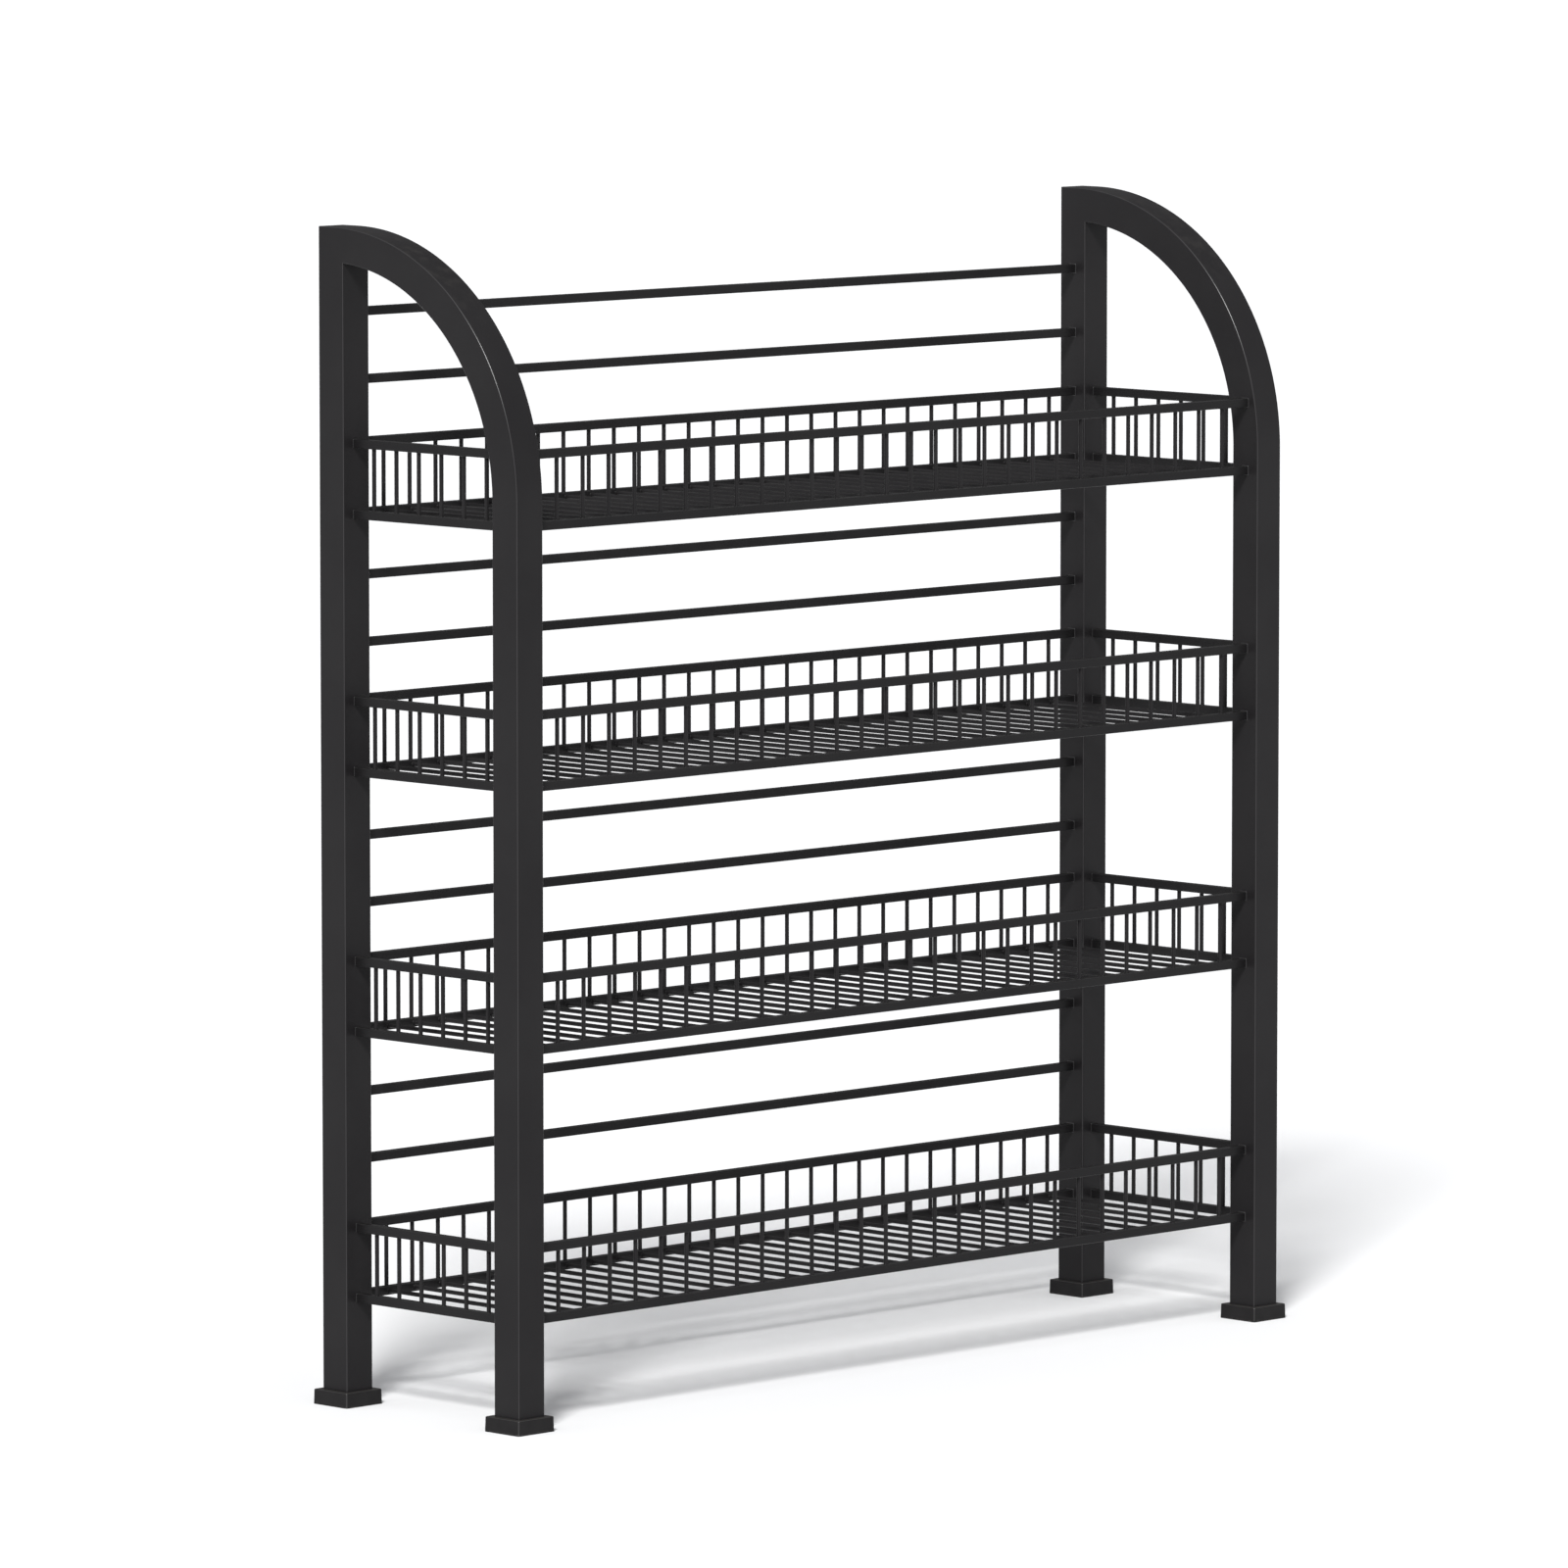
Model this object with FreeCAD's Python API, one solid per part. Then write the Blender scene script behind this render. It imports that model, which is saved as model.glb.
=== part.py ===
"""Four-tier wire-basket display rack for bagged goods, in millimetres.

Two side frames stand on square plastic feet. Each is a rear post and a front post that bends over
in a quarter circle to meet it. Four open baskets and four pairs of back rails are welded between
the frames. The origin is on the floor under the middle of the rack: +X runs along the width,
-Y is the front that a shopper stands at, and +Z is up.
"""

import FreeCAD
import Part

import math
import os

# Side frames
RACK_HEIGHT = 1328.0  # floor to the flat top of the arches
FRAME_SPACING = 1200.0  # left post centre to right post centre
POST_SPACING = 280.0  # front post centre to rear post centre
POST_SIZE = 40.0
POST_WALL = 1.5
POST_CORNER = 2.0
ARCH_RADIUS = 296.0  # outside of the bend

# Feet
FOOT_WIDTH = 56.0  # at the floor
FOOT_TOP_WIDTH = 55.2
FOOT_HEIGHT = 17.0
FOOT_CORNER = 3.0
FOOT_TOP_EDGE = 1.0
PLUG_WIDTH = 26.0
PLUG_WALL = 2.5
PLUG_HEIGHT = 30.0
PLUG_CORNER = 1.0
WELL_CORNER = 0.5  # inside the plug
FIN_COUNT = 4
FIN_THICKNESS = 1.4
FIN_START = 4.5  # top of the foot to the underside of the first fin
FIN_PITCH = 7.5
FIN_CLEARANCE = 0.2  # fin to the inside of the post

# Basket rails and the back rails between the baskets
RAIL_SIZE = 10.0
RAIL_WALL = 1.0
RAIL_CORNER = 0.8
TIER_HEIGHTS = (123.0, 424.5, 717.5, 1006.5)  # floor to the centre of each bottom rail
BASKET_HEIGHT = 79.5  # bottom rail centre to top rail centre
BACK_RAIL_RISES = (74.4, 62.7, 63.5, 70.0)  # top rail centre to the first back rail of each tier
BACK_RAIL_SPACING = 76.0  # first to second back rail of a tier

# Wires
WIRE_DIAMETER = 5.0
LONG_WALL_PICKETS = 28
END_WALL_PICKETS = 6
END_WALL_PITCH = 36.4

OUT = "parts"
EDGE_TOLERANCE = 0.01  # for finding an edge by its height
CUT_MARGIN = POST_SIZE  # how far a cutting block runs past the tube that it cuts

FRAME_X = FRAME_SPACING / 2
POST_Y = POST_SPACING / 2
HALF_POST = POST_SIZE / 2
HALF_RAIL = RAIL_SIZE / 2
INNER_LENGTH = FRAME_SPACING - POST_SIZE  # between the facing sides of the two frames
INNER_DEPTH = POST_SPACING - POST_SIZE  # between the facing sides of a front and a rear post
LONG_WALL_PITCH = INNER_LENGTH / (LONG_WALL_PICKETS + 1)
ARCH_CENTRE_Y = ARCH_RADIUS - HALF_POST - POST_Y
ARCH_CENTRE_Z = RACK_HEIGHT - ARCH_RADIUS

SIDES = {"left": -1, "right": 1}
X_AXIS = FreeCAD.Vector(1, 0, 0)
Y_AXIS = FreeCAD.Vector(0, 1, 0)
Z_AXIS = FreeCAD.Vector(0, 0, 1)


def rounded_square(width, radius):
    """A closed wire: a square about the origin in the XY plane, with round corners."""
    flat = width / 2 - radius
    half = width / 2
    middle = flat + radius * math.sqrt(0.5)
    edges = []
    for turn in range(4):
        spin = FreeCAD.Rotation(Z_AXIS, 90 * turn)
        side = [FreeCAD.Vector(half, -flat, 0), FreeCAD.Vector(half, flat, 0)]
        edges.append(Part.LineSegment(*[spin.multVec(p) for p in side]).toShape())
        if radius > 0:
            corner = [(half, flat, 0), (middle, middle, 0), (flat, half, 0)]
            points = [spin.multVec(FreeCAD.Vector(*p)) for p in corner]
            edges.append(Part.Arc(*points).toShape())
    return Part.Wire(edges)


def tube_section(size, wall, corner):
    """The section of a square tube, as a face in the XY plane."""
    outside = Part.Face(rounded_square(size, corner))
    inside = Part.Face(rounded_square(size - 2 * wall, max(corner - wall, 0)))
    return outside.cut(inside).Faces[0]


def along(face, axis, start, length):
    """The XY-plane face turned to face along axis, moved to start and extruded by length."""
    turned = face.copy()
    turned.Placement = FreeCAD.Placement(start, FreeCAD.Rotation(Z_AXIS, axis))
    return turned.extrude(axis * length)


def rail(axis, start, length):
    """A square rail tube that runs from start along axis."""
    return along(tube_section(RAIL_SIZE, RAIL_WALL, RAIL_CORNER), axis, start, length)


def bent_post(section, x):
    """The front post of the frame at x, with its quarter bend and the flat end above the rear post."""
    foot_end = FreeCAD.Vector(x, -POST_Y, FOOT_HEIGHT)
    upright = along(section, Z_AXIS, foot_end, ARCH_CENTRE_Z - FOOT_HEIGHT)
    spring_line = section.copy()
    spring_line.translate(FreeCAD.Vector(x, -POST_Y, ARCH_CENTRE_Z))
    centre = FreeCAD.Vector(x, ARCH_CENTRE_Y, ARCH_CENTRE_Z)
    bend = spring_line.revolve(centre, X_AXIS, -90)
    crown = FreeCAD.Vector(x, ARCH_CENTRE_Y, RACK_HEIGHT - HALF_POST)
    flat_end = along(section, Y_AXIS, crown, POST_Y + HALF_POST - ARCH_CENTRE_Y)
    return upright.fuse([bend, flat_end])


def mitre_wedge(x):
    """The block above the mitre that joins a front post's flat end to the rear post below it."""
    front = POST_Y - HALF_POST
    bore_radius = ARCH_RADIUS - POST_SIZE
    reach = max(ARCH_CENTRE_Y - front, 0)
    inner_z = ARCH_CENTRE_Z + math.sqrt(bore_radius**2 - reach**2)
    inner = FreeCAD.Vector(x - CUT_MARGIN, front, inner_z)
    outer = FreeCAD.Vector(x - CUT_MARGIN, POST_Y + HALF_POST, RACK_HEIGHT)
    low = inner - (outer - inner)
    high = outer + (outer - inner)
    square_corner = FreeCAD.Vector(x - CUT_MARGIN, low.y, high.z)
    outline = Part.makePolygon([low, high, square_corner, low])
    return Part.Face(outline).extrude(X_AXIS * (2 * CUT_MARGIN))


def side_frame(x):
    """The rear post and the arched front post of the frame at x, mitred together at the top."""
    section = tube_section(POST_SIZE, POST_WALL, POST_CORNER)
    wedge = mitre_wedge(x)
    foot_end = FreeCAD.Vector(x, POST_Y, FOOT_HEIGHT)
    rear = along(section, Z_AXIS, foot_end, RACK_HEIGHT - FOOT_HEIGHT).cut(wedge)
    depth = POST_SIZE + CUT_MARGIN
    height = POST_SIZE + 2 * CUT_MARGIN
    block_start = FreeCAD.Vector(
        x - CUT_MARGIN, POST_Y - HALF_POST, RACK_HEIGHT - POST_SIZE - CUT_MARGIN
    )
    block = Part.makeBox(2 * CUT_MARGIN, depth, height, block_start)
    arched = bent_post(section, x).cut(block.cut(wedge)).removeSplitter()
    return rear, arched


def arch_envelope(x):
    """The filled outside of the bent post at x, for coping the rails that meet its curve."""
    outside = Part.Face(rounded_square(POST_SIZE, POST_CORNER))
    return bent_post(outside, x)


def foot(x, y):
    """A moulded foot with a finned plug that is pressed up into the end of a post."""
    base = Part.makeLoft(
        [rounded_square(FOOT_WIDTH, FOOT_CORNER), lifted_square(FOOT_TOP_WIDTH, FOOT_HEIGHT)], True
    )
    rim_height = FOOT_HEIGHT - EDGE_TOLERANCE
    rim = [edge for edge in base.Edges if all(v.Z > rim_height for v in edge.Vertexes)]
    base = base.makeFillet(FOOT_TOP_EDGE, rim)
    well_width = PLUG_WIDTH - 2 * PLUG_WALL
    plug = Part.Face(rounded_square(PLUG_WIDTH, PLUG_CORNER)).extrude(Z_AXIS * PLUG_HEIGHT)
    well = Part.Face(rounded_square(well_width, WELL_CORNER)).extrude(Z_AXIS * PLUG_HEIGHT)
    plug = plug.cut(well)
    plug.translate(Z_AXIS * FOOT_HEIGHT)
    fin_width = POST_SIZE - 2 * POST_WALL - 2 * FIN_CLEARANCE
    hole_width = PLUG_WIDTH - PLUG_WALL
    fin_face = Part.Face(rounded_square(fin_width, PLUG_CORNER)).cut(
        Part.Face(rounded_square(hole_width, WELL_CORNER))
    )
    fins = []
    for number in range(FIN_COUNT):
        fin = fin_face.extrude(Z_AXIS * FIN_THICKNESS)
        fin.translate(Z_AXIS * (FOOT_HEIGHT + FIN_START + FIN_PITCH * number))
        fins.append(fin)
    whole = base.fuse([plug] + fins).removeSplitter()
    whole.translate(FreeCAD.Vector(x, y, 0))
    return whole


def lifted_square(width, height):
    """The foot's rounded square at a height."""
    wire = rounded_square(width, FOOT_CORNER)
    wire.translate(Z_AXIS * height)
    return wire


def centred(count, pitch):
    """Positions of count things at a pitch, centred on zero."""
    return [pitch * (number - (count - 1) / 2) for number in range(count)]


def wire(start, axis, length):
    """A round wire from start along axis."""
    return Part.makeCylinder(WIRE_DIAMETER / 2, length, start, axis)


def picket_wall(places, bottom_z):
    """The upright wires of one basket wall, from its bottom rail up to its top rail."""
    low = bottom_z + HALF_RAIL
    length = BASKET_HEIGHT - RAIL_SIZE
    return Part.Compound([wire(FreeCAD.Vector(x, y, low), Z_AXIS, length) for x, y in places])


def long_rail(y, z):
    """A rail along the width, between the two side frames."""
    return rail(X_AXIS, FreeCAD.Vector(-INNER_LENGTH / 2, y, z), INNER_LENGTH)


def end_rail(x, z, envelope):
    """A rail along the depth, from the rear post to the front post, coped to the front post's curve."""
    reach = INNER_DEPTH + HALF_POST
    straight = rail(-Y_AXIS, FreeCAD.Vector(x, INNER_DEPTH / 2, z), reach)
    return straight.cut(envelope)


def basket(tier, bottom_z, envelopes):
    """The rails and wires of one tier's basket, by node name."""
    top_z = bottom_z + BASKET_HEIGHT
    name = f"tier_{tier}"
    nodes = {}
    long_places = centred(LONG_WALL_PICKETS, LONG_WALL_PITCH)
    for wall, y in (("front", -POST_Y), ("back", POST_Y)):
        nodes[f"{name}_{wall}_top_rail"] = long_rail(y, top_z)
        nodes[f"{name}_{wall}_bottom_rail"] = long_rail(y, bottom_z)
        nodes[f"{name}_{wall}_pickets"] = picket_wall([(x, y) for x in long_places], bottom_z)
    end_places = centred(END_WALL_PICKETS, END_WALL_PITCH)
    for side, sign in SIDES.items():
        x = sign * FRAME_X
        rails = [end_rail(x, z, envelopes[side]) for z in (bottom_z, top_z)]
        nodes[f"{name}_{side}_rails"] = Part.Compound(rails)
        nodes[f"{name}_{side}_pickets"] = picket_wall([(x, y) for y in end_places], bottom_z)
    floor_length = POST_SPACING - RAIL_SIZE
    floor = [
        wire(FreeCAD.Vector(x, -floor_length / 2, bottom_z), Y_AXIS, floor_length)
        for x in long_places
    ]
    nodes[f"{name}_floor_wires"] = Part.Compound(floor)
    return nodes


def back_rails():
    """The pairs of rails that close the back above each basket, numbered from the floor up."""
    nodes = {}
    for tier_z, rise in zip(TIER_HEIGHTS, BACK_RAIL_RISES):
        first = tier_z + BASKET_HEIGHT + rise
        for z in (first, first + BACK_RAIL_SPACING):
            nodes[f"back_rail_{len(nodes) + 1}"] = long_rail(POST_Y, z)
    return nodes


def build():
    """Every node of the rack by name."""
    nodes = {}
    envelopes = {}
    for side, sign in SIDES.items():
        x = sign * FRAME_X
        rear, arched = side_frame(x)
        nodes[f"{side}_rear_post"] = rear
        nodes[f"{side}_arched_front_post"] = arched
        nodes[f"foot_front_{side}"] = foot(x, -POST_Y)
        nodes[f"foot_rear_{side}"] = foot(x, POST_Y)
        envelopes[side] = arch_envelope(x)
    for tier, bottom_z in enumerate(TIER_HEIGHTS, start=1):
        nodes.update(basket(tier, bottom_z, envelopes))
    nodes.update(back_rails())
    return nodes


def main():
    os.makedirs(OUT, exist_ok=True)
    for name, shape in build().items():
        shape.exportStep(os.path.join(OUT, f"{name}.step"))
        print(name, len(shape.Solids), round(shape.Volume / 1000, 2), shape.isValid())


main()
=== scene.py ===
"""Visual model of a four-tier wire-basket display rack in satin near-black powder coat.

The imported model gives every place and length. Each piece here is shaped around it with Blender's own
modelling tools, stands for its CAD node, and carries the welds, soft corners and finish of the real
rack. Lengths are in metres, the front faces -Y, and +Z is up.
"""

import logging
import math
from collections.abc import Callable, Sequence
from dataclasses import dataclass, field
from enum import Enum

import bmesh
import bpy
from mathutils import Matrix, Vector


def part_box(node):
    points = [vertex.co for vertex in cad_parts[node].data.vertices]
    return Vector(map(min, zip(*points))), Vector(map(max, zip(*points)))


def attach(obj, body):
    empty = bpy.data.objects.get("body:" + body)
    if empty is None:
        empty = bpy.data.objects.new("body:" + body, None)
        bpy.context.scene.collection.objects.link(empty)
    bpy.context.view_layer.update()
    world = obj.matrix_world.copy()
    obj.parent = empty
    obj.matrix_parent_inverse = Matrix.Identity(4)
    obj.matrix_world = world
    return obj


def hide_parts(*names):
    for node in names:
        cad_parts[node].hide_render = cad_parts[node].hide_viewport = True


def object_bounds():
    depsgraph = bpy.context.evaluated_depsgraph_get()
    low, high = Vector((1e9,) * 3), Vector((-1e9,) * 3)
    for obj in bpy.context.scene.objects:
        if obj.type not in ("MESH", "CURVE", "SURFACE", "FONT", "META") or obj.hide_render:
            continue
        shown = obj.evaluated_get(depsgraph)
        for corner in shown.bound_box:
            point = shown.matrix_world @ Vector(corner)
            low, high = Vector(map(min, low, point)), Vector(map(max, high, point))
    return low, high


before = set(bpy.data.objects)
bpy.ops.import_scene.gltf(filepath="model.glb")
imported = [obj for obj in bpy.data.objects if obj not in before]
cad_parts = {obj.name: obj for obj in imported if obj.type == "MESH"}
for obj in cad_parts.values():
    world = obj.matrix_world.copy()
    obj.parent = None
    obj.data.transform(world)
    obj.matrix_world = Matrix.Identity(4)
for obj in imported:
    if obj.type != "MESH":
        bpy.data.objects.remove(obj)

LOG = logging.getLogger("display_rack")
CAD_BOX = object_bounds()
MM = 0.001
BODY = "root"
TIERS = (1, 2, 3, 4)
MERGE_DISTANCE = 0.001 * MM
CURVE_ANGLE = 34.0
TIGHT_CURVE_ANGLE = 70.0

Triple = tuple[float, float, float]
Colour = Triple
Station = tuple[float, float]
Step = tuple[float, float]
# The rails' coat is a darker copy of the frame's coat: painted shade on the rails.
RAIL_FILM_PAINTED_SHADE: Colour = (0.0077, 0.0073, 0.0077)
RAIL_CLOUD_PAINTED_SHADE: Colour = (0.0096, 0.0092, 0.0095)
CORNER_STEP: Step = (0.04, 0.26)
UPWARD_STEP: Step = (0.55, 0.95)
CLOUD_STEP: Step = (0.3, 0.7)


class Axis(Enum):
    """A row axis that a plate faces, with the turn that brings a plate lying flat round to face it."""

    X = ((1.0, 0.0, 0.0), (0.0, math.pi / 2, 0.0))
    Y = ((0.0, 1.0, 0.0), (-math.pi / 2, 0.0, 0.0))
    Z = ((0.0, 0.0, 1.0), (0.0, 0.0, 0.0))

    @property
    def way(self) -> Vector:
        """The unit vector along the axis."""
        return Vector(self.value[0])

    @property
    def turn(self) -> Triple:
        """The Euler angles that turn +Z to the axis."""
        return self.value[1]


class Side(Enum):
    """An end of the rack, as a person who faces its front sees it."""

    LEFT = "left"
    RIGHT = "right"


class Wall(Enum):
    """A long wall of a basket."""

    FRONT = "front"
    BACK = "back"


class Slot(Enum):
    """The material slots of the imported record."""

    STEEL = "powder_coated_steel"
    PLASTIC = "foot_plastic"


class Corners(Enum):
    """How a finish finds a section's round corners from the way the surface faces."""

    ACROSS_X = "tubes that stay in one side frame, straight or bent"
    ALONG_X = "tubes that run along the width"
    BOX = "moulded blocks"
    NONE = "round wires"


@dataclass(frozen=True)
class Extent:
    """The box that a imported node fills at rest."""

    low: Vector
    high: Vector

    @classmethod
    def of(cls, node: str) -> "Extent":
        """Reads a node's box.

        Args:
            node: The name of a CAD node.

        Returns:
            The node's extent.
        """
        return cls(*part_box(node))

    @property
    def centre(self) -> Vector:
        """The middle of the box."""
        return (self.low + self.high) / 2

    @property
    def size(self) -> Vector:
        """The box's lengths along X, Y and Z."""
        return self.high - self.low


class Value:
    """A number that a material works out at each point, kept as a socket so that arithmetic adds nodes."""

    def __init__(self, graph: "Graph", socket: bpy.types.NodeSocket) -> None:
        """Wraps a socket of a graph."""
        self.graph = graph
        self.socket = socket

    def maths(self, operation: str, *terms: "Value | float") -> "Value":
        """Adds a Math node.

        Args:
            operation: The node's operation.
            terms: Its inputs, in order.

        Returns:
            The node's result.
        """
        node = self.graph.node("ShaderNodeMath", {"operation": operation}, dict(enumerate(terms)))
        return Value(self.graph, node.outputs[0])

    def __add__(self, other: "Value | float") -> "Value":
        """self + other."""
        return self.maths("ADD", self, other)

    def __radd__(self, other: float) -> "Value":
        """other + self."""
        return self.maths("ADD", other, self)

    def __sub__(self, other: "Value | float") -> "Value":
        """self - other."""
        return self.maths("SUBTRACT", self, other)

    def __rsub__(self, other: float) -> "Value":
        """other - self."""
        return self.maths("SUBTRACT", other, self)

    def __mul__(self, other: "Value | float") -> "Value":
        """self * other."""
        return self.maths("MULTIPLY", self, other)

    def __rmul__(self, other: float) -> "Value":
        """other * self."""
        return self.maths("MULTIPLY", other, self)

    def __abs__(self) -> "Value":
        """The value without its sign."""
        return self.maths("ABSOLUTE", self)

    def larger(self, other: "Value | float") -> "Value":
        """The larger of self and other."""
        return self.maths("MAXIMUM", self, other)

    def root(self) -> "Value":
        """The square root, with anything under zero taken as zero."""
        return self.larger(0.0).maths("SQRT", self.larger(0.0))

    def rise(self, low: float, high: float) -> "Value":
        """A smooth step from 0 at low to 1 at high.

        Args:
            low: Where the step begins.
            high: Where it ends.

        Returns:
            The step's value.
        """
        settings = {"interpolation_type": "SMOOTHSTEP"}
        node = self.graph.node("ShaderNodeMapRange", settings, {0: self, 1: low, 2: high})
        return Value(self.graph, node.outputs[0])


class Graph:
    """The nodes of one material or world, all added by one method."""

    def __init__(self, owner: bpy.types.Material | bpy.types.World) -> None:
        """Starts with no nodes."""
        owner.use_nodes = True
        self.owner = owner
        self.tree = owner.node_tree
        self.tree.nodes.clear()

    def node(
        self,
        kind: str,
        settings: dict[str, object] | None = None,
        inputs: dict[str | int, object] | None = None,
    ) -> bpy.types.Node:
        """Adds a node.

        Args:
            kind: The node's type.
            settings: Its own settings, which are set first.
            inputs: Values or links for its sockets, by name or number.

        Returns:
            The new node.
        """
        node = self.tree.nodes.new(kind)
        for name, setting in (settings or {}).items():
            setattr(node, name, setting)
        for name, given in (inputs or {}).items():
            if isinstance(given, Value):
                given = given.socket
            if isinstance(given, bpy.types.NodeSocket):
                self.tree.links.new(given, node.inputs[name])
            else:
                node.inputs[name].default_value = given
        return node

    def place(self) -> bpy.types.NodeSocket:
        """The point on the piece, in metres in the row frame."""
        return self.node("ShaderNodeTexCoord").outputs["Object"]

    def parts(self, vector: bpy.types.NodeSocket) -> tuple[Value, Value, Value]:
        """The three numbers of a vector."""
        node = self.node("ShaderNodeSeparateXYZ", None, {0: vector})
        return tuple(Value(self, socket) for socket in node.outputs)

    def facing(self) -> tuple[Value, Value, Value]:
        """The way that the surface faces."""
        return self.parts(self.node("ShaderNodeNewGeometry").outputs["Normal"])

    def noise(self, size: float, detail: float = 2.0, stretch: Triple = (1.0, 1.0, 1.0)) -> Value:
        """A noise pattern fixed to the piece.

        Args:
            size: The length of one blotch.
            detail: How much finer noise is laid over it.
            stretch: Shares of that length along X, Y and Z.

        Returns:
            The pattern, from 0 to 1 about 0.5.
        """
        scale = tuple(1.0 / (size * share) for share in stretch)
        mapped = self.node("ShaderNodeMapping", None, {"Vector": self.place(), "Scale": scale})
        inputs = {"Vector": mapped.outputs[0], "Scale": 1.0, "Detail": detail}
        return Value(self, self.node("ShaderNodeTexNoise", None, inputs).outputs[0])

    def blend(
        self,
        share: Value | float,
        first: Colour | bpy.types.NodeSocket,
        second: Colour | bpy.types.NodeSocket,
    ) -> bpy.types.NodeSocket:
        """Mixes two colours.

        Args:
            share: How much of the second, from 0 to 1.
            first: A colour.
            second: Another colour.

        Returns:
            The mixed colour.
        """
        pair = [(*c, 1.0) if isinstance(c, tuple) else c for c in (first, second)]
        node = self.node("ShaderNodeMix", {"data_type": "RGBA"}, {0: share, 6: pair[0], 7: pair[1]})
        return node.outputs[2]

    def bump(self, height: Value, depth: float, strength: float) -> bpy.types.NodeSocket:
        """The surface's normal, roughened by a height pattern.

        Args:
            height: The pattern, from 0 to 1.
            depth: How far apart its lows and highs are.
            strength: How much of the effect to show.

        Returns:
            The normal.
        """
        inputs = {"Height": height, "Distance": depth, "Strength": strength}
        return self.node("ShaderNodeBump", None, inputs).outputs[0]

    def surface(self, inputs: dict[str, object]) -> None:
        """Ends the material in one Principled shader with these inputs."""
        shader = self.node("ShaderNodeBsdfPrincipled", None, inputs)
        self.node("ShaderNodeOutputMaterial", None, {"Surface": shader.outputs[0]})


def corner_share(graph: Graph, corners: Corners) -> Value | float:
    """Where a section's round corners are, for the coat that thins and is rubbed there and for a painted
    highlight along them.

    Args:
        graph: The material's graph.
        corners: The kind of section.

    Returns:
        1 at the middle of a round corner and 0 on a flat side.
    """
    if corners is Corners.NONE:
        return 0.0
    x, y, z = (abs(part) for part in graph.facing())
    if corners is Corners.ACROSS_X:
        flatness = x.larger((1.0 - x * x).root())
    elif corners is Corners.ALONG_X:
        flatness = y.larger(z)
    else:
        flatness = x.larger(y).larger(z)
    return (1.0 - flatness).rise(*CORNER_STEP)


@dataclass(frozen=True)
class PowderCoat:
    """Satin powder coat on steel: orange peel, and a film that clouds a little and is lighter at corners,
    partly where it thins and partly as a painted highlight.
    """

    name: str
    corners: Corners
    film: Colour = (0.0100, 0.0093, 0.0099)
    cloud: Colour = (0.0124, 0.0117, 0.0122)
    # Corner colour: the thinner film there, and partly a painted highlight along the corners.
    thin_film_and_highlight: Colour = (0.024, 0.023, 0.024)
    dust: Colour = (0.060, 0.056, 0.051)
    thin_film_and_highlight_share: float = 0.55
    dust_share: float = 0.16
    cloud_size: float = 110 * MM
    dust_size: float = 14 * MM
    dust_step: Step = (0.42, 0.72)
    peel_size: float = 1.1 * MM
    peel_depth: float = 0.05 * MM
    peel_strength: float = 0.55
    peel_grain: float = 0.12
    grain_size: float = 0.28 * MM
    rub_size: float = 0.9 * MM
    rub_stretch: Triple = (1.0, 1.0, 26.0)
    rub_step: Step = (0.66, 0.74)
    gloss_level: float = 0.11
    roughness: float = 0.36
    cloud_roughness: float = 0.10
    grain_roughness: float = 0.12
    dust_roughness: float = 0.14
    edge_polish: float = 0.07
    rub_polish: float = 0.06
    glaze: float = 0.5
    glaze_roughness: float = 0.30

    def material(self) -> bpy.types.Material:
        """Builds the finish.

        Returns:
            The material.
        """
        graph = Graph(bpy.data.materials.new(self.name))
        clouds = graph.noise(self.cloud_size, detail=3.0)
        grain = graph.noise(self.grain_size, detail=1.0)
        edge = corner_share(graph, self.corners)
        upward = graph.facing()[2].rise(*UPWARD_STEP)
        upward_lightening = upward * graph.noise(self.dust_size, detail=4.0).rise(*self.dust_step)
        rubbed = graph.noise(self.rub_size, stretch=self.rub_stretch).rise(*self.rub_step)
        colour = graph.blend(clouds.rise(*CLOUD_STEP), self.film, self.cloud)
        # Lighter round corners: the thinner film, and partly a painted highlight.
        colour = graph.blend(edge * self.thin_film_and_highlight_share, colour, self.thin_film_and_highlight)
        colour = graph.blend(upward_lightening * self.dust_share, colour, self.dust)
        rough = self.roughness + (clouds - 0.5) * self.cloud_roughness
        rough = rough + (grain - 0.5) * self.grain_roughness + upward_lightening * self.dust_roughness
        rough = rough - edge * self.edge_polish - rubbed * self.rub_polish
        peel = graph.noise(self.peel_size) + grain * self.peel_grain
        graph.surface(
            {
                "Base Color": colour,
                "Roughness": rough,
                "Specular IOR Level": self.gloss_level,
                "Coat Weight": edge * self.glaze,
                "Coat Roughness": self.glaze_roughness,
                "Normal": graph.bump(peel, self.peel_depth, self.peel_strength),
            }
        )
        return graph.owner


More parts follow.
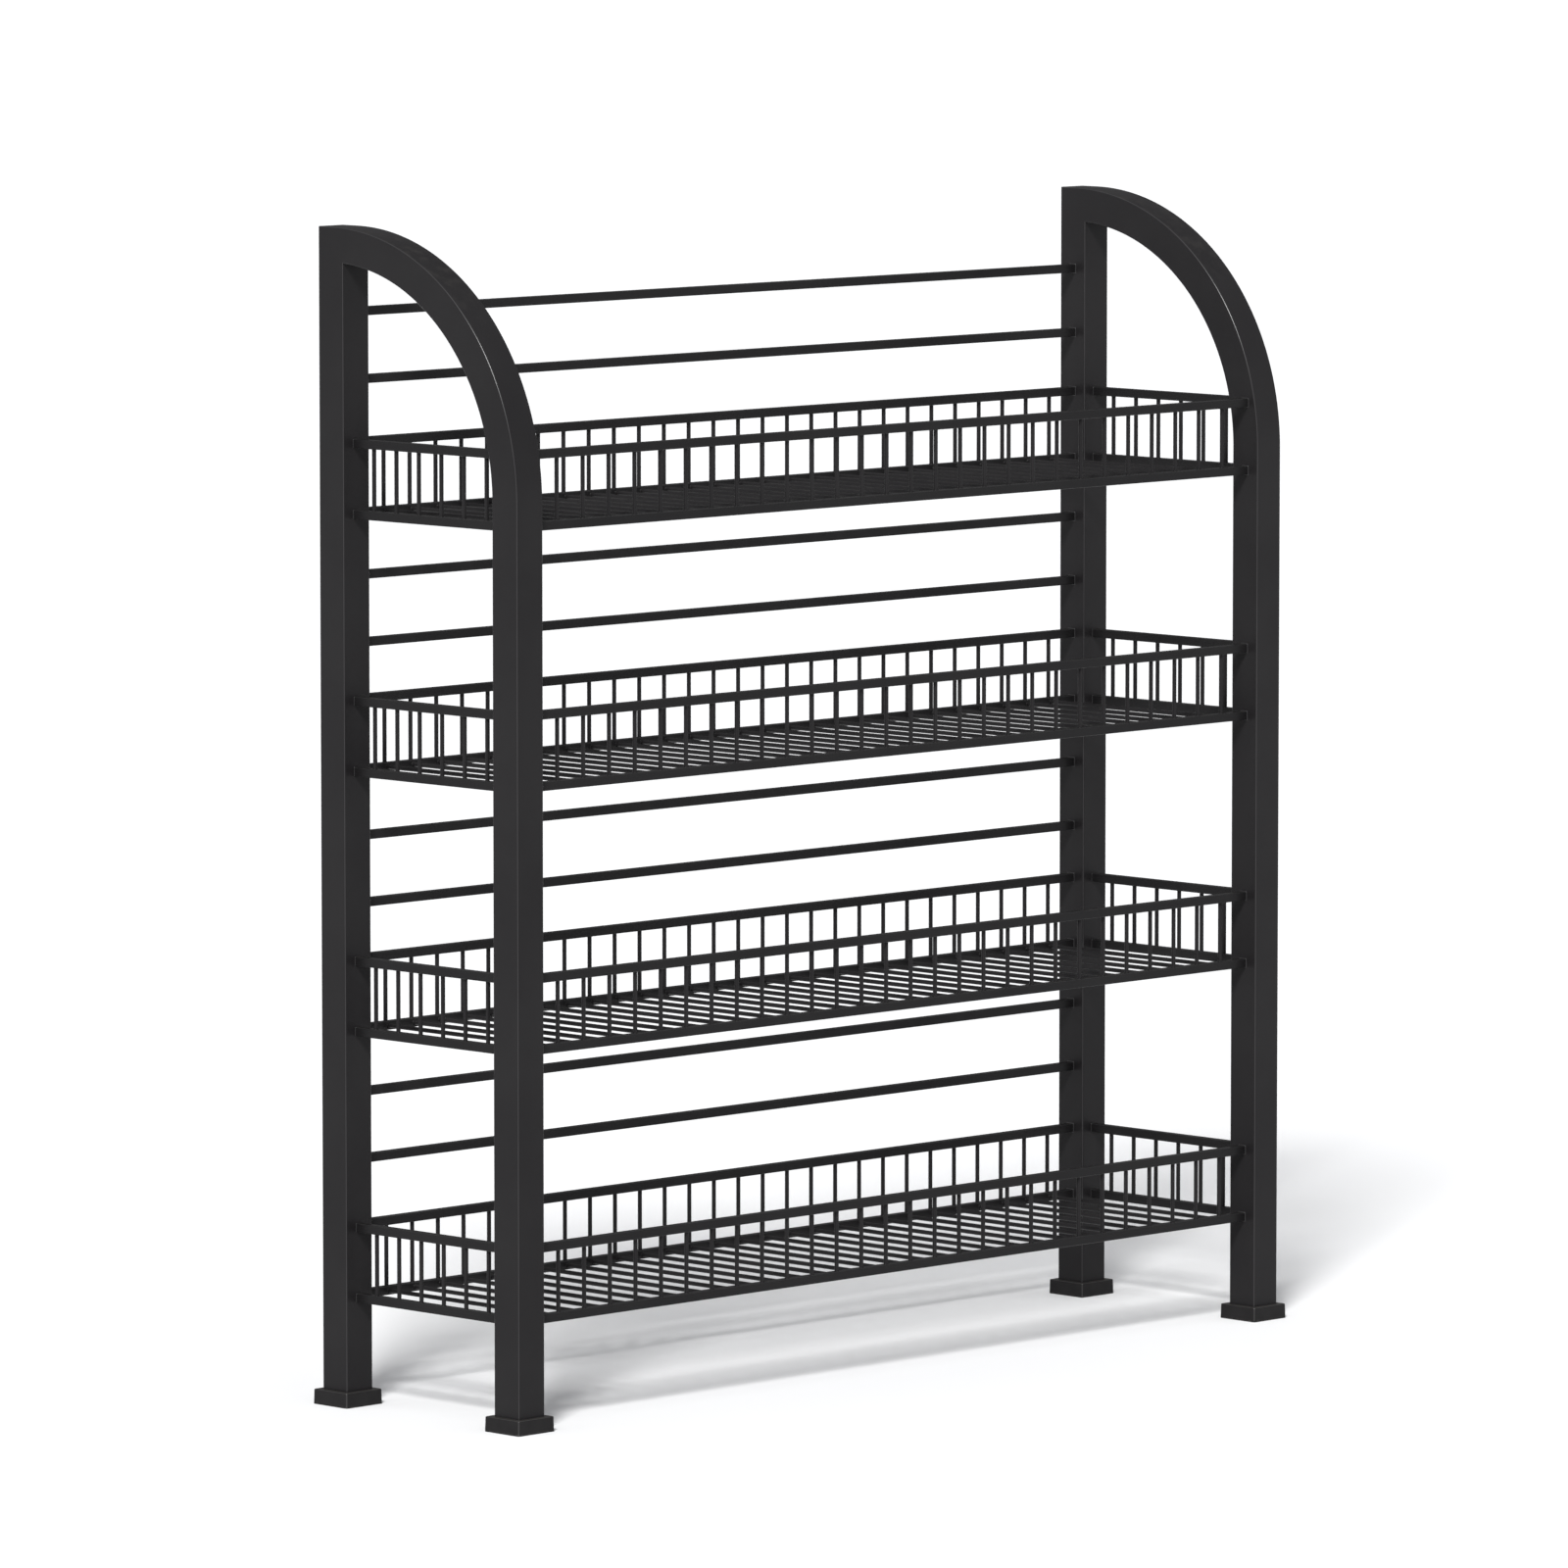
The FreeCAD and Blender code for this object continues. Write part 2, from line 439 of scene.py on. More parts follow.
@dataclass(frozen=True)
class MouldedPlastic:
    """Near-black moulded plastic with an eroded grain, scuffed at the floor, and lighter on its ledges by
    patches of dust and an even painted light.
    """

    name: str = "moulded_foot_plastic"
    body: Colour = (0.0090, 0.0084, 0.0087)
    patch: Colour = (0.0112, 0.0106, 0.0108)
    worn: Colour = (0.030, 0.029, 0.029)
    # Pale tone for the scuffs, for the dust patches and for the painted light on the ledges.
    dust: Colour = (0.09, 0.085, 0.078)
    worn_share: float = 0.5
    # An even painted light on every upward face.
    ledge_painted_light_share: float = 0.10
    patchy_share: float = 0.16
    scuffed_share: float = 0.35
    dusty_height: float = 3.5 * MM
    patch_size: float = 22 * MM
    scuff_size: float = 1.6 * MM
    scuff_stretch: Triple = (3.0, 3.0, 1.0)
    scuff_step: Step = (0.48, 0.66)
    grain_size: float = 0.45 * MM
    grain_depth: float = 0.04 * MM
    grain_strength: float = 0.7
    gloss_level: float = 0.10
    roughness: float = 0.40
    grain_roughness: float = 0.16
    scuff_roughness: float = 0.2
    edge_polish: float = 0.05
    glaze: float = 0.45
    glaze_roughness: float = 0.28

    def material(self) -> bpy.types.Material:
        """Builds the finish.

        Returns:
            The material.
        """
        graph = Graph(bpy.data.materials.new(self.name))
        height = graph.parts(graph.place())[2]
        grain = graph.noise(self.grain_size)
        patches = graph.noise(self.patch_size)
        low_down = 1.0 - height.rise(0.0, self.dusty_height)
        marks = graph.noise(self.scuff_size, detail=3.0, stretch=self.scuff_stretch)
        scuffs = low_down * marks.rise(*self.scuff_step)
        edge = corner_share(graph, Corners.BOX)
        # Upward faces made lighter: an even painted light on the ledges, plus patches of dust.
        upward = graph.facing()[2].rise(*UPWARD_STEP)
        upward_lightening = upward * (self.ledge_painted_light_share + patches * self.patchy_share)
        colour = graph.blend(patches.rise(*CLOUD_STEP), self.body, self.patch)
        colour = graph.blend(edge * self.worn_share, colour, self.worn)
        colour = graph.blend(upward_lightening, colour, self.dust)
        colour = graph.blend(scuffs * self.scuffed_share, colour, self.dust)
        rough = self.roughness + (grain - 0.5) * self.grain_roughness
        rough = rough + scuffs * self.scuff_roughness - edge * self.edge_polish
        graph.surface(
            {
                "Base Color": colour,
                "Roughness": rough,
                "Specular IOR Level": self.gloss_level,
                "Coat Weight": edge * self.glaze,
                "Coat Roughness": self.glaze_roughness,
                "Normal": graph.bump(grain, self.grain_depth, self.grain_strength),
            }
        )
        return graph.owner


@dataclass(frozen=True)
class PaleFloor:
    """A plain pale studio floor, very slightly uneven in tone and gloss."""

    name: str = "pale_studio_floor"
    light: Colour = (0.77, 0.77, 0.77)
    shade: Colour = (0.75, 0.75, 0.755)
    drift_size: float = 1.4
    grain_size: float = 6 * MM
    gloss_level: float = 0.3
    roughness: float = 0.62
    grain_roughness: float = 0.08

    def material(self) -> bpy.types.Material:
        """Builds the finish.

        Returns:
            The material.
        """
        graph = Graph(bpy.data.materials.new(self.name))
        drift = graph.noise(self.drift_size)
        grain = graph.noise(self.grain_size)
        graph.surface(
            {
                "Base Color": graph.blend(drift.rise(*CLOUD_STEP), self.light, self.shade),
                "Roughness": self.roughness + (grain - 0.5) * self.grain_roughness,
                "Specular IOR Level": self.gloss_level,
            }
        )
        return graph.owner


class Bench:
    """One mesh on the bench, shaped in edit mode with Blender's own tools, in the row frame throughout."""

    def __init__(self, name: str) -> None:
        """Takes the primitive that was just added, applies its place, and opens it in edit mode."""
        bpy.ops.object.transform_apply(location=True, rotation=True, scale=True)
        self.piece = bpy.context.active_object
        self.piece.name = name
        self.piece.data.name = name
        bpy.ops.object.mode_set(mode="EDIT")
        bpy.ops.mesh.select_all(action="SELECT")

    @classmethod
    def square(
        cls, name: str, width: float, corner: float, at: Vector, facing: Axis, flats: int = 5
    ) -> "Bench":
        """Starts from a square plate with round corners.

        Args:
            name: The piece's name.
            width: The plate's width.
            corner: The radius of its corners.
            at: Its middle.
            facing: The axis that it faces.
            flats: How many flats make each corner.

        Returns:
            The bench, with the plate selected.
        """
        clear_selection()
        bpy.ops.mesh.primitive_plane_add(size=width, location=at, rotation=facing.turn)
        bench = cls(name)
        bpy.ops.mesh.bevel(offset=corner, segments=flats, affect="VERTICES")
        bpy.ops.mesh.select_all(action="SELECT")
        return bench

    @classmethod
    def disc(cls, name: str, radius: float, sides: int, at: Vector, facing: Axis) -> "Bench":
        """Starts from a round plate.

        Args:
            name: The piece's name.
            radius: The plate's radius.
            sides: How many sides it has.
            at: Its middle.
            facing: The axis that it faces.

        Returns:
            The bench, with the plate selected.
        """
        clear_selection()
        bpy.ops.mesh.primitive_circle_add(
            vertices=sides, radius=radius, fill_type="NGON", location=at, rotation=facing.turn
        )
        return cls(name)

    def hollow(self, wall: float) -> None:
        """Cuts the middle out of the selected plate.

        Args:
            wall: How wide a rim is left all round.
        """
        bpy.ops.mesh.inset(thickness=wall, depth=0.0)
        bpy.ops.mesh.delete(type="FACE")
        bpy.ops.mesh.select_all(action="SELECT")

    def extrude(self, move: Vector) -> None:
        """Extrudes the selected face by a move."""
        bpy.ops.mesh.extrude_region_move(
            TRANSFORM_OT_translate={"value": tuple(move), "orient_type": "GLOBAL"}
        )

    def widen(self, factor: float, about: Vector) -> None:
        """Scales what is selected about a point."""
        bpy.ops.transform.resize(value=(factor,) * 3, center_override=tuple(about))

    def loft(self, start: Vector, way: Vector, stations: Sequence[Station]) -> Vector:
        """Extrudes the selected face through stations, each a distance from start and a width.

        Args:
            start: Where distances are counted from.
            way: The direction of the distances.
            stations: Distances and widths. The first is where the face is now.

        Returns:
            The point that the face has reached.
        """
        reached, wide = stations[0]
        for distance, width in stations[1:]:
            self.extrude(way * (distance - reached))
            self.widen(width / wide, start + way * distance)
            reached, wide = distance, width
        return start + way * reached

    def tilt(self, angle: float, about: Vector) -> None:
        """Turns what is selected about a line along X through a point, from +Y towards +Z."""
        bpy.ops.transform.rotate(value=-angle, orient_axis="X", center_override=tuple(about))

    def spin(self, steps: int, angle: float, centre: Vector, axis: Vector) -> None:
        """Sweeps the selected face round a centre."""
        bpy.ops.mesh.spin(steps=steps, angle=angle, center=tuple(centre), axis=tuple(axis))

    def cut(self, at: Vector, towards: Vector, wanted: Callable[[Vector], bool]) -> None:
        """Cuts part of the mesh at a plane, closes it, and throws away the side that towards points to.

        Args:
            at: A point on the plane.
            towards: The way from the plane to what is thrown away.
            wanted: Says whether a point belongs to the part that is cut.
        """
        self.pick_faces(wanted)
        bpy.ops.mesh.bisect(
            plane_co=tuple(at), plane_no=tuple(towards), use_fill=True, clear_outer=True
        )

    def pick_faces(self, wanted: Callable[[Vector], bool]) -> None:
        """Selects the faces whose every corner is wanted, and nothing else.

        Args:
            wanted: Says whether a point is wanted.
        """
        bpy.ops.mesh.select_mode(type="FACE")
        bpy.ops.mesh.select_all(action="DESELECT")
        mesh = bmesh.from_edit_mesh(self.piece.data)
        for face in mesh.faces:
            face.select_set(all(wanted(corner.co) for corner in face.verts))
        bmesh.update_edit_mesh(self.piece.data)

    def modify(self, kind: str, **settings: object) -> None:
        """Adds a modifier with these settings and applies it.

        Args:
            kind: The modifier's type.
            settings: Its settings, by name.
        """
        if bpy.context.mode != "OBJECT":
            bpy.ops.object.mode_set(mode="OBJECT")
        bpy.ops.object.modifier_add(type=kind)
        modifier = self.piece.modifiers[-1]
        for name, setting in settings.items():
            setattr(modifier, name, setting)
        bpy.ops.object.modifier_apply(modifier=modifier.name)

    def repeat(self, count: int, step: Vector) -> None:
        """Turns the mesh into a row of copies of itself."""
        self.modify(
            "ARRAY",
            count=count,
            use_relative_offset=False,
            use_constant_offset=True,
            constant_offset_displace=tuple(step),
        )

    def done(self, smooth_under: float = CURVE_ANGLE) -> bpy.types.Object:
        """Leaves edit mode with the mesh clean, its faces outward and its shading even.

        Args:
            smooth_under: The sharpest bend, in degrees, that is shaded as a curve.

        Returns:
            The finished object.
        """
        if bpy.context.mode != "EDIT_MESH":
            bpy.ops.object.mode_set(mode="EDIT")
        bpy.ops.mesh.select_all(action="SELECT")
        bpy.ops.mesh.remove_doubles(threshold=MERGE_DISTANCE)
        bpy.ops.mesh.normals_make_consistent(inside=False)
        bpy.ops.object.mode_set(mode="OBJECT")
        bpy.ops.object.shade_smooth_by_angle(angle=math.radians(smooth_under))
        self.modify("WEIGHTED_NORMAL", keep_sharp=True)
        return self.piece


def clear_selection() -> None:
    """Leaves edit mode and deselects everything."""
    if bpy.context.mode != "OBJECT":
        bpy.ops.object.mode_set(mode="OBJECT")
    bpy.ops.object.select_all(action="DESELECT")


def copy_of(piece: bpy.types.Object, name: str, move: Vector) -> bpy.types.Object:
    """Copies a finished piece, with a mesh of its own.

    Args:
        piece: The piece to copy.
        name: The copy's name.
        move: How far the copy's mesh stands from the first one's.

    Returns:
        The copy.
    """
    twin = piece.copy()
    twin.data = piece.data.copy()
    twin.name = name
    twin.data.name = name
    twin.data.transform(Matrix.Translation(move))
    bpy.context.scene.collection.objects.link(twin)
    return twin


def join(pieces: Sequence[bpy.types.Object]) -> bpy.types.Object:
    """Joins pieces into the first of them.

    Args:
        pieces: The pieces, of which only the first one's name is kept.

    Returns:
        The joined piece.
    """
    clear_selection()
    for piece in pieces:
        piece.select_set(True)
    bpy.context.view_layer.objects.active = pieces[0]
    bpy.ops.object.join()
    return pieces[0]


def dress(
    piece: bpy.types.Object, material: bpy.types.Material, stands_for: Sequence[str] = ()
) -> None:
    """Gives a piece its finish and its body, and hides the CAD nodes that it stands for.

    Args:
        piece: The finished piece.
        material: Its finish.
        stands_for: The CAD nodes that it replaces.
    """
    piece.data.materials.clear()
    piece.data.materials.append(material)
    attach(piece, BODY)
    if stands_for:
        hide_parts(*stands_for)
    LOG.info("%s: %d faces", piece.name, len(piece.data.polygons))


def fillet(size: float, steps: int) -> list[Station]:
    """The hollow outline of a small weld, from the face it stands on.

    Args:
        size: The weld's height and reach.
        steps: How many flats make its curve.

    Returns:
        Distances from the face, each with how far the weld stands out there.
    """
    outline = []
    for step in range(steps + 1):
        angle = math.pi / 2 * step / steps
        outline.append((size * (1 - math.cos(angle)), size * (1 - math.sin(angle))))
    return outline


def welded_run(length: float, width: float, weld: float, steps: int) -> list[Station]:
    """The stations of a bar that is welded to a face at both ends.

    Args:
        length: The bar's length.
        width: Its width.
        weld: The size of the fillets at its ends.
        steps: How many flats make a fillet's curve.

    Returns:
        Distances along the bar and the width at each.
    """
    near = [(distance, width + 2 * out) for distance, out in fillet(weld, steps)]
    far = [(length - distance, wide) for distance, wide in reversed(near)]
    return near + far


@dataclass
class SideFrame:
    """The two side frames: a rear post, and a front post that bends over to meet it in a mitre."""

    coat: bpy.types.Material
    corner: float = 2.0 * MM
    wall: float = 1.5 * MM
    arch_radius: float = 296 * MM
    arch_steps: int = 72
    bead_radius: float = 1.6 * MM
    bead_ripple: float = 1.4 * MM
    bead_crest: float = 0.35
    bead_trough: float = 0.8
    bead_end: float = 0.55
    bead_dip: float = 0.86
    bead_sides: int = 14
    bead_curve_angle: float = 50.0
    arched: Extent = field(init=False)
    rear: Extent = field(init=False)

    def __post_init__(self) -> None:
        """Reads the left frame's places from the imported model."""
        self.arched = Extent.of("left_arched_front_post")
        self.rear = Extent.of("left_rear_post")

    @property
    def post(self) -> float:
        """The width of the square tube."""
        return self.rear.size.x

    @property
    def arch_centre(self) -> Vector:
        """The centre of the bend."""
        return Vector(
            (self.rear.centre.x, self.arched.low.y + self.arch_radius, self.arched.high.z - self.arch_radius)
        )

    @property
    def inner_corner(self) -> Vector:
        """Where the inside of the bend meets the rear post, at the middle of the tube."""
        bore = self.arch_radius - self.post
        reach = self.arch_centre.y - self.rear.low.y
        return Vector(
            (self.rear.centre.x, self.rear.low.y, self.arch_centre.z + math.sqrt(bore**2 - reach**2))
        )

    @property
    def mitre(self) -> tuple[Vector, Vector]:
        """A point on the mitre, and the way that points to the arch's side of it."""
        outer = Vector((self.rear.centre.x, self.rear.high.y, self.arched.high.z))
        along = outer - self.inner_corner
        return outer, Vector((0.0, -along.z, along.y)).normalized()

    def curve_y(self, height: float) -> float:
        """How far forward the inside of the front post is at a height.

        Args:
            height: A height above the floor.

        Returns:
            The Y of the front post's inner face or curve there.
        """
        above = max(height - self.arch_centre.z, 0.0)
        return self.arch_centre.y - math.sqrt((self.arch_radius - self.post) ** 2 - above**2)

    def rear_post(self) -> bpy.types.Object:
        """The straight rear post, cut to the mitre at its top."""
        start = Vector((self.rear.centre.x, self.rear.centre.y, self.rear.low.z))
        bench = Bench.square("left_rear_post_coated", self.post, self.corner, start, Axis.Z)
        bench.hollow(self.wall)
        bench.extrude(Vector((0.0, 0.0, self.arched.high.z - self.rear.low.z + self.post)))
        at, way = self.mitre
        bench.cut(at, way, lambda point: True)
        return bench.done()

    def front_post(self) -> bpy.types.Object:
        """The front post with its quarter bend, cut to the mitre at its end."""
        start = Vector((self.rear.centre.x, self.arched.low.y + self.post / 2, self.arched.low.z))
        bench = Bench.square("left_arched_front_post_coated", self.post, self.corner, start, Axis.Z)
        bench.hollow(self.wall)
        bench.extrude(Vector((0.0, 0.0, self.arch_centre.z - self.arched.low.z)))
        bench.spin(self.arch_steps, math.pi / 2, self.arch_centre, Axis.X.way)
        bench.extrude(Vector((0.0, self.rear.high.y - self.arch_centre.y + self.post, 0.0)))
        at, way = self.mitre
        upper = self.arch_centre.z + self.arch_radius / 2
        bench.cut(at, -way, lambda point: point.z > upper)
        return bench.done()

    def mitre_bead(self) -> bpy.types.Object:
        """The weld bead along the inside of the mitre, laid in short overlapping ripples."""
        half = self.post / 2 - self.corner
        start = self.inner_corner + Vector((-half, 0.0, 0.0))
        ripples = int(2 * half / self.bead_ripple)
        stations = [(0.0, self.bead_end)]
        for ripple in range(ripples):
            begun = 2 * half * ripple / ripples
            stations.append((begun + self.bead_crest * self.bead_ripple, 1.0))
            stations.append((begun + self.bead_trough * self.bead_ripple, self.bead_dip))
        stations.append((2 * half, self.bead_end))
        end_radius = self.bead_radius * self.bead_end
        bench = Bench.disc("left_mitre_bead", end_radius, self.bead_sides, start, Axis.X)
        bench.loft(start, Axis.X.way, stations)
        return bench.done(self.bead_curve_angle)

    def build(self) -> None:
        """Makes the left frame's pieces, and copies them to the right."""
        across = Extent.of("right_rear_post").centre.x - self.rear.centre.x
        made = (
            (self.rear_post(), "rear_post", True),
            (self.front_post(), "arched_front_post", True),
            (self.mitre_bead(), "mitre_bead", False),
        )
        for piece, part, is_node in made:
            twin = copy_of(piece, piece.name.replace("left", "right"), Vector((across, 0.0, 0.0)))
            for side, one in ((Side.LEFT, piece), (Side.RIGHT, twin)):
                nodes = (f"{side.value}_{part}",) if is_node else ()
                dress(one, self.coat, nodes)


@dataclass
class Feet:
    """The four moulded feet, each with a finned plug that grips the inside of its post."""

    plastic: bpy.types.Material
    top_width: float = 55.2 * MM
    corner: float = 3 * MM
    corner_flats: int = 6
    floor_chamfer: float = 0.3 * MM
    top_round: float = 1 * MM
    top_flats: int = 4
    plug_width: float = 26 * MM
    plug_height: float = 30 * MM
    well_width: float = 21 * MM
    well_floor: float = 0.5 * MM
    fin_width: float = 36.6 * MM
    fin_taper: float = 0.8 * MM
    fin_thickness: float = 1.4 * MM
    fin_start: float = 4.5 * MM
    fin_pitch: float = 7.5 * MM
    fins: int = 4

    def outline(self, width: float, top: float) -> list[Station]:
        """The foot's outline from the floor up, over the plug's fins and down its well.

        Args:
            width: The foot's width at the floor.
            top: The height of the face that the post stands on.

        Returns:
            Heights and the width at each.
        """
        stations = [(0.0, width - 2 * self.floor_chamfer), (self.floor_chamfer, width)]
        rim = self.top_width
        for step in range(self.top_flats + 1):
            angle = math.pi / 2 * step / self.top_flats
            rise = top - self.top_round * (1 - math.sin(angle))
            stations.append((rise, rim - 2 * self.top_round * (1 - math.cos(angle))))
        stations.append((top, self.plug_width))
        for fin in range(self.fins):
            low = top + self.fin_start + self.fin_pitch * fin
            high = low + self.fin_thickness
            stations += [(low, self.plug_width), (low, self.fin_width)]
            stations += [(high, self.fin_width - self.fin_taper), (high, self.plug_width)]
        end = top + self.plug_height
        stations += [(end, self.plug_width), (end, self.well_width)]
        stations.append((top + self.well_floor, self.well_width))
        return stations

    def build(self) -> None:
        """Makes one foot and copies it to the other three posts."""
        first = Extent.of("foot_front_left")
        top = Extent.of("left_rear_post").low.z
        start = Vector((first.centre.x, first.centre.y, 0.0))
        outline = self.outline(first.size.x, top)
        name = "foot_front_left_moulded"
        bench = Bench.square(name, outline[0][1], self.corner, start, Axis.Z, self.corner_flats)
        bench.loft(start, Axis.Z.way, outline)
        foot = bench.done()
        made = {"foot_front_left": foot}
        for node in ("foot_front_right", "foot_rear_left", "foot_rear_right"):
            made[node] = copy_of(foot, f"{node}_moulded", Extent.of(node).centre - first.centre)
        for node, piece in made.items():
            dress(piece, self.plastic, (node,))


@dataclass
class LongRails:
    """The square rails that run from side frame to side frame, with a fillet weld at each end."""

    coat: bpy.types.Material
    corner: float = 0.8 * MM
    corner_flats: int = 4
    weld: float = 0.8 * MM
    weld_steps: int = 4

    def nodes(self) -> list[str]:
        """The CAD nodes of the long rails: four for each basket, and the back rails."""
        names = [
            f"tier_{tier}_{wall.value}_{level}_rail"
            for tier in TIERS
            for wall in Wall
            for level in ("top", "bottom")
        ]
        return names + sorted(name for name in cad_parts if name.startswith("back_rail_"))

    def build(self) -> None:
        """Makes one rail and copies it to every other place."""
        names = self.nodes()
        first = Extent.of(names[0])
        start = Vector((first.low.x, first.centre.y, first.centre.z))
        width = first.size.z
        stations = welded_run(first.size.x, width, self.weld, self.weld_steps)
        scale = stations[0][1] / width
        name = f"{names[0]}_coated"
        bench = Bench.square(
            name, width * scale, self.corner * scale, start, Axis.X, self.corner_flats
        )
        bench.loft(start, Axis.X.way, stations)
        rail = bench.done()
        pieces = [rail]
        for name in names[1:]:
            pieces.append(copy_of(rail, f"{name}_coated", Extent.of(name).centre - first.centre))
        for name, piece in zip(names, pieces):
            dress(piece, self.coat, (name,))


@dataclass
class EndRails:
    """The pair of short rails at each end of a basket, from the rear post to the front post."""

    coat: bpy.types.Material
    frames: SideFrame
    corner: float = 0.8 * MM
    corner_flats: int = 4
    weld: float = 0.8 * MM
    weld_steps: int = 4

    def rail(self, name: str, start: Vector, width: float) -> bpy.types.Object:
        """Makes one rail, its front end tilted to lie against the front post where that is bent.

        Args:
            name: The piece's name.
            start: The middle of its rear end.
            width: Its width.

        Returns:
            The rail.
        """
        front = self.frames.curve_y(start.z)
        above = max(start.z - self.frames.arch_centre.z, 0.0)
        lean = math.asin(above / (self.frames.arch_radius - self.frames.post))
        stations = welded_run(start.y - front, width, self.weld, self.weld_steps)
        near = stations[: self.weld_steps + 1]
        far = stations[self.weld_steps + 1 :]
        scale = near[0][1] / width
        bench = Bench.square(
            name, width * scale, self.corner * scale, start, Axis.Y, self.corner_flats
        )
        way = Vector((0.0, -1.0, 0.0))
        bench.loft(start, way, near + far[:1])
        joint = start + way * far[0][0]
        if lean > 0:
            bench.tilt(lean, joint)
            way = Vector((0.0, -math.cos(lean), math.sin(lean)))
        bench.loft(joint - way * far[0][0], way, far)
        return bench.done()

    def pair(self, tier: int) -> bpy.types.Object:
        """Makes the two rails at the left end of a tier's basket, as one piece.

        Args:
            tier: The tier's number.

        Returns:
            The piece.
        """
        box = Extent.of(f"tier_{tier}_left_rails")
        width = box.size.x
        name = f"tier_{tier}_left_rails_coated"
        made = []
        for height in (box.low.z + width / 2, box.high.z - width / 2):
            start = Vector((box.centre.x, box.high.y, height))
            made.append(self.rail(name if not made else f"{name}_top", start, width))
        return join(made)

    def build(self) -> None:
        """Makes the rails of every tier, and copies them to the right."""
        across = Extent.of("tier_1_right_rails").centre.x - Extent.of("tier_1_left_rails").centre.x
        for tier in TIERS:
            left = self.pair(tier)
            right = copy_of(left, f"tier_{tier}_right_rails_coated", Vector((across, 0.0, 0.0)))
            dress(left, self.coat, (f"tier_{tier}_left_rails",))
            dress(right, self.coat, (f"tier_{tier}_right_rails",))


@dataclass
class WireWork:
    """The round wires of the baskets: pickets in all four walls, and the floor."""

    coat: bpy.types.Material
    long_count: int = 28
    end_count: int = 6
    sides: int = 12
    weld: float = 0.6 * MM
    weld_steps: int = 1

    def row(self, node: str, facing: Axis, spread: Axis, count: int) -> bpy.types.Object:
        """Makes a row of equal wires that fills a CAD node's box.

        Args:
            node: The CAD node that the row stands for.
            facing: The axis that each wire runs along.
            spread: The axis that the wires are spread along.
            count: How many there are.

        Returns:
            The row, as one piece.
        """
        box = Extent.of(node)
        span = box.size.dot(spread.way)
        length = box.size.dot(facing.way)
        width = box.size.dot(Vector((1.0, 1.0, 1.0)) - facing.way - spread.way)
        middle = box.centre - facing.way * (length / 2)
        start = middle - spread.way * ((span - width) / 2)
        stations = welded_run(length, width, self.weld, self.weld_steps)
        bench = Bench.disc(f"{node}_coated", stations[0][1] / 2, self.sides, start, facing)
        bench.loft(start, facing.way, stations)
        bench.repeat(count, spread.way * ((span - width) / (count - 1)))
        return bench.done(TIGHT_CURVE_ANGLE)

    def spread_copies(self, piece: bpy.types.Object, names: Sequence[str]) -> None:
        """Dresses a row of wires, and copies it to the other nodes of its kind.

        Args:
            piece: The row, which stands for the first name.
            names: The nodes of this kind.
        """
        home = Extent.of(names[0]).centre
        pieces = [piece]
        for name in names[1:]:
            pieces.append(copy_of(piece, f"{name}_coated", Extent.of(name).centre - home))
        for name, one in zip(names, pieces):
            dress(one, self.coat, (name,))

    def build(self) -> None:
        """Makes one long picket wall, one end picket wall and one floor, and copies each."""
        long_walls = [f"tier_{tier}_{wall.value}_pickets" for tier in TIERS for wall in Wall]
        end_walls = [f"tier_{tier}_{side.value}_pickets" for tier in TIERS for side in Side]
        floors = [f"tier_{tier}_floor_wires" for tier in TIERS]
        self.spread_copies(self.row(long_walls[0], Axis.Z, Axis.X, self.long_count), long_walls)
        self.spread_copies(self.row(end_walls[0], Axis.Z, Axis.Y, self.end_count), end_walls)
        self.spread_copies(self.row(floors[0], Axis.Y, Axis.X, self.long_count), floors)


